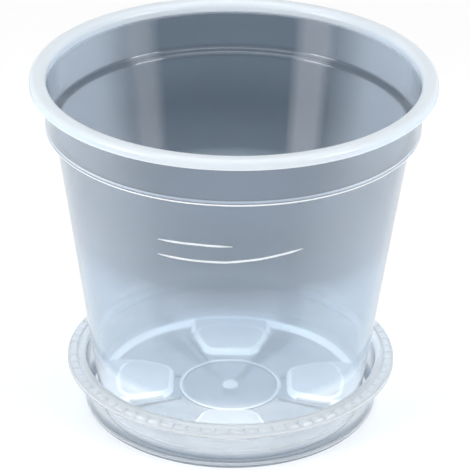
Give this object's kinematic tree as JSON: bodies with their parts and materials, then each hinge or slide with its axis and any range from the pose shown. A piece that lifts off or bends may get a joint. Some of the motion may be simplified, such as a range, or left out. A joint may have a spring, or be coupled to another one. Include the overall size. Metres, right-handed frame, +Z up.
{
  "type": "orchid pot with saucer",
  "caption": "Clear moulded plastic orchid pot with a rolled rim, stepped collar and drain tunnels in its base, standing in a shallow saucer with a fluted flange; the pot lifts out.",
  "frame": {"origin": "on the surface that the saucer stands on, under the middle of the pot", "axes": "+Z up along the pot's axis, -Y towards the picture's camera, +X to the right"},
  "size_m": [0.15, 0.15, 0.136],
  "materials": {
    "pot_plastic": "clear moulded polypropylene with a cool haze, glossy",
    "saucer_plastic": "clear moulded polypropylene, glossy"
  },
  "bodies": {
    "saucer": {"saucer": "saucer_plastic"},
    "pot": {"pot": "pot_plastic"}
  },
  "joints": [
    {"name": "pot_lift", "type": "slide", "parent": "saucer", "child": "pot", "axis": [0, 0, 1], "range_m": [0, 0.03]}
  ]
}
